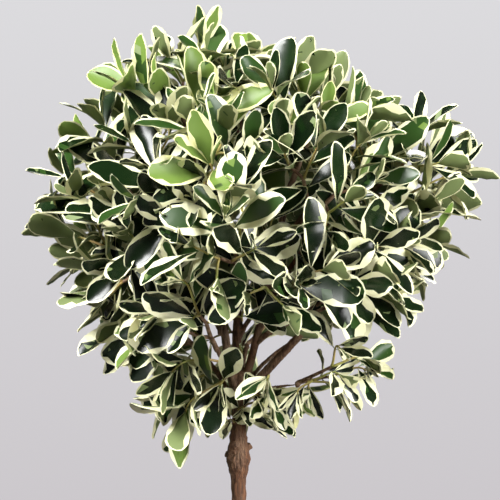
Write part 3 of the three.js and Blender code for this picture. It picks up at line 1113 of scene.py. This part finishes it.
BARE_FOOT = 0.12  # the share of a shoot, at its foot, that bears no leaves
SMALL_REACH = 0.02  # and the reach from the tip in which a shoot of small leaves bears them
SMALL_LEAF = 0.74  # a small leaf's length as a share of the others'
OPEN_LIGHT = np.array([0.15, -1.3, 0.30])  # where the light comes from for small leaves,
LIGHT_UP, LIGHT_OUT, LIGHT_FRONT = 0.50, 0.75, 0.38  # and its shares from three sides for others
LEAFY_TWIG = 0.018  # the least length of a twig that bears a pair of its own
SHADE_PAIR = (0.7, 0.9, 66, 26)  # where on a twig its pair stands, then as in PAIRS
# Pairs of leaves down a shoot: the distance from its tip, the leaf's length as a share of a full
# one, its angle from the shoot in degrees, and how far it curls back, also in degrees.
PAIRS = (
    (0.0005, 0.42, 12, 4),
    (0.004, 0.76, 29, 6),
    (0.012, 1.00, 46, 12),
    (0.025, 1.10, 61, 20),
    (0.042, 1.06, 74, 28),
)


def leaf_pair(leaves, crown, rng, spot, way, turn, form, spray):
    """Adds two opposite leaves at a joint of a shoot. Their form is a row of PAIRS and a droop."""
    share, angle, curl, droop = form
    first = unit(np.cross(way, (0.2, 0.3, 0.93) if abs(way[2]) < 0.9 else (1, 0, 0)))
    second = np.cross(way, first)
    if share < 0.5 and rng.random() < 0.45:
        return
    for opposite in (0, math.pi):
        bearing = turn + opposite + rng.normal(0, 0.16)
        out = first * math.cos(bearing) + second * math.sin(bearing)
        lean = math.radians(angle) + rng.normal(0, 0.13)
        along = way * math.cos(lean) + out * math.sin(lean)
        face = way * math.sin(lean) - out * math.cos(lean)
        light = UP * LIGHT_UP + unit(spot - CROWN_CENTRE) * LIGHT_OUT + FRONT * LIGHT_FRONT
        if spray["open"]:
            light = OPEN_LIGHT
        face = unit(face + light * math.sin(lean))
        along = unit(along - UP * droop * rng.uniform(0.4, 1.2) + UP * 0.10 * (1 - droop))
        face = face + rng.normal(0, 0.13, 3)
        size = crown.leaf_length * share * rng.uniform(0.84, 1.14)
        bend = math.radians(curl + rng.normal(0, 9))
        bend = math.copysign(max(abs(bend), 0.03), bend)
        leaves.append(Leaf(spot, along, face, size, bend, spray))


def all_leaves(crown):
    """Every leaf by tier: pairs set crosswise along each shoot, and shade leaves on the twigs,
    darkened as painted shade.
    """
    twigs, rng = grown_crown(crown)
    tiers = {tier: [] for tier in sorted(set(TIERS.values()))}
    for twig in twigs:
        tier = TIERS[twig.mass.split("_")[1]]
        leaves = tiers[tier]
        out = unit(twig.at(1.0) - CROWN_CENTRE)
        droop = 0.30 * max(0.0, -out[2] - 0.15)
        reach = twig.length()
        turn = rng.uniform(0, math.pi)
        small = SMALL_LEAF if twig.mass == LOW_SPRAY else 1.0
        if twig.leafy:
            # sprays deep in the hollow are dealt darker greens, as painted shade
            spray = spray_look(rng, twig.at(1.0), tier, in_hollow(out) > 0.4)
            # painted shade: cream margins narrow towards the hollow so that it reads darker; the
            # small leaves get wider margins
            spray["margin"] += 0.22 * (small < 1) - 0.08 * in_hollow(out)
            spray["open"] = small < 1
            stretch = rng.uniform(0.8, 1.35)
            for distance, share, angle, curl in PAIRS:
                at = 1 - distance * stretch / reach
                if at < BARE_FOOT or (small < 1 and distance > SMALL_REACH):
                    break
                way = twig.tangent(min(at, 0.98))
                form = (share * small, angle, curl, droop)
                leaf_pair(leaves, crown, rng, twig.at(at), way, turn, form, spray)
                turn += math.pi / 2 + rng.normal(0, 0.1)
        elif reach > LEAFY_TWIG:
            # shade leaves on the inner twigs always get darker greens: painted shade, partly true
            # of older inner leaves
            spray = spray_look(rng, twig.at(1.0), tier, True)
            at, share, angle, curl = SHADE_PAIR
            form = (share * small, angle, curl, droop)
            leaf_pair(leaves, crown, rng, twig.at(at), twig.tangent(at), turn, form, spray)
    return tiers, rng


def sharpen_margins(piece):
    """Keeps the blade's upper and lower faces from being shaded as one across the thin margin."""
    mesh = piece.data
    ends = np.empty(len(mesh.edges) * 2, np.int32)
    mesh.edges.foreach_get("vertices", ends)
    corner = ends.reshape(-1, 2) % LEAF_CORNERS
    on_margin = np.isin((corner - 1) % RING, (0, TOP_CORNERS - 1))
    on_margin |= np.isin(corner, (0, LEAF_CORNERS - 1))
    sharp = mesh.attributes.new("sharp_edge", "BOOLEAN", "EDGE")
    sharp.data.foreach_set("value", on_margin.all(1))


def leaf_materials(colours):
    """One plain, softly glossy finish for each colour that is dealt out."""
    gloss = {"deep": 0.27, "dark": 0.27, "mid": 0.32, "cream": 0.45, "butter": 0.45, "lime": 0.44}
    made = []
    for name in SHADES:
        base = opaque(getattr(colours, name))
        sockets = {"Base Color": base, "Specular IOR Level": 0.35}
        made.append(new_material(f"leaf_{name}", gloss.get(name, 0.55), sockets)[0])
    return made


class SPINDLE_OT_leaves(bpy.types.Operator):
    """Sets cream-edged leaves on every shoot and twig"""

    bl_idname = "spindle.leaves"
    bl_label = "Leaves"

    def execute(self, context):
        settings = context.scene.spindle
        crown = settings.crown
        materials = leaf_materials(settings.leaves)
        tiers, rng = all_leaves(crown)
        faces = leaf_faces()
        lowest = np.array(CAD_BOX[0]) - OVERHANG
        highest = np.array(CAD_BOX[1]) + OVERHANG
        for tier, leaves in tiers.items():
            corners = leaf_corners(leaves, crown, rng)
            shades = leaf_shades(leaves, rng)
            inside = ((corners > lowest) & (corners < highest)).all((1, 2))
            kept = inside & ~in_window(corners[:, ::3]).any(1)
            piece = piece_of_copies(f"leaves_{tier}", corners[kept], faces, shades[kept])
            sharpen_margins(piece)
            masses = [name for name in MASSES if TIERS[name.split("_")[1]] == tier]
            finish_piece(piece, materials, masses)
        return {"FINISHED"}


# ---------------------------------------------------------------- stage
# Each light's name, its place from the crown's middle, and the side of its square.
LIGHTS = (
    ("key", (-1.15, -1.05, 1.15), 0.9),
    ("fill", (1.45, -0.95, 0.25), 1.1),
    ("back", (0.3, 1.7, 0.9), 1.2),
)


class SPINDLE_OT_stage(bpy.types.Operator):
    """Sets the pale floor, the soft light, the grey backdrop and the camera"""

    bl_idname = "spindle.stage"
    bl_label = "Stage"

    def execute(self, context):
        stage = context.scene.spindle.stage
        self.lay_floor(stage)
        self.light_world(context.scene, stage)
        for name, offset, size in LIGHTS:
            self.add_light(name, Vector(offset), size, getattr(stage, f"{name}_power"))
        self.place_camera(context.scene, stage)
        context.scene.view_settings.view_transform = "Standard"
        return {"FINISHED"}

    def lay_floor(self, stage):
        deselect_all()
        bpy.ops.mesh.primitive_circle_add(
            vertices=160, radius=stage.floor_radius, fill_type="NGON", location=(0, 0, 0)
        )
        floor = bpy.context.object
        floor.name = "floor"
        sockets = {"Base Color": opaque(stage.floor), "Emission Color": opaque(stage.floor_glow)}
        material, tree, shader = new_material("floor", 0.9, sockets)
        tree.links.new(seen_in(tree), shader.inputs["Emission Strength"])
        floor.data.materials.append(material)

    def light_world(self, scene, stage):
        """A pale backdrop behind the plant, and a dimmer, even surround that lights it."""
        world = bpy.data.worlds.new("surround")
        scene.world = world
        world.use_nodes = True
        tree = world.node_tree
        share = range_in(tree, height_in(tree, place_in(tree, "Generated")), -0.14, 0.14)
        backdrop = mix_in(tree, share, opaque(stage.wall_low), opaque(stage.wall_high))
        seen = mix_in(tree, seen_in(tree), opaque(stage.ambient), backdrop)
        tree.links.new(seen, tree.nodes["Background"].inputs["Color"])

    def add_light(self, name, offset, size, power):
        """A soft square light, at an offset from the crown's middle and turned towards it."""
        deselect_all()
        bpy.ops.object.light_add(type="AREA", location=Vector(CROWN_CENTRE) + offset)
        light = bpy.context.object
        light.name = name
        light.data.size = size
        light.data.energy = power
        light.rotation_euler = (-offset).to_track_quat("-Z", "Y").to_euler()
        light.visible_camera = False

    def place_camera(self, scene, stage):
        """Level with the crown, so that it fills the view above a short length of bare stem."""
        target = Vector((FORK[0] + stage.aim_right, 0, FORK[2] + stage.aim_above))
        deselect_all()
        bpy.ops.object.camera_add(location=target - Vector((0, stage.camera_distance, 0)))
        camera = bpy.context.object
        camera.rotation_euler = (math.radians(90), 0, 0)
        camera.data.lens = camera.data.sensor_width * stage.camera_distance / stage.view_width
        camera.data.clip_end = 50
        scene.camera = camera


# ---------------------------------------------------------------- panel
GROUPS = (PotSettings, BarkSettings, CrownSettings, LeafColours, StageSettings)
PIECES = (SPINDLE_OT_pot, SPINDLE_OT_compost, SPINDLE_OT_bark, SPINDLE_OT_twigs, SPINDLE_OT_leaves)
OPERATORS = (*PIECES, SPINDLE_OT_stage)


class SPINDLE_PT_panel(bpy.types.Panel):
    """Lists the pieces of the plant in the order in which they are made"""

    bl_idname = "SPINDLE_PT_panel"
    bl_label = "Spindle Standard"
    bl_space_type = "VIEW_3D"
    bl_region_type = "UI"
    bl_category = "Spindle"

    def draw(self, context):
        settings = context.scene.spindle
        for operator in OPERATORS:
            self.layout.operator(operator.bl_idname)
        for group in (settings.pot, settings.bark, settings.crown, settings.leaves, settings.stage):
            box = self.layout.box()
            for name in group.__annotations__:
                box.prop(group, name)


CLASSES = (*GROUPS, SpindleSettings, *OPERATORS, SPINDLE_PT_panel)


def register():
    for item in CLASSES:
        bpy.utils.register_class(item)
    bpy.types.Scene.spindle = PointerProperty(type=SpindleSettings)


def unregister():
    del bpy.types.Scene.spindle
    for item in reversed(CLASSES):
        bpy.utils.unregister_class(item)


def main():
    register()
    bpy.ops.spindle.pot()
    bpy.ops.spindle.compost()
    bpy.ops.spindle.bark()
    bpy.ops.spindle.twigs()
    bpy.ops.spindle.leaves()
    bpy.ops.spindle.stage()


if __name__ == "__main__":
    main()
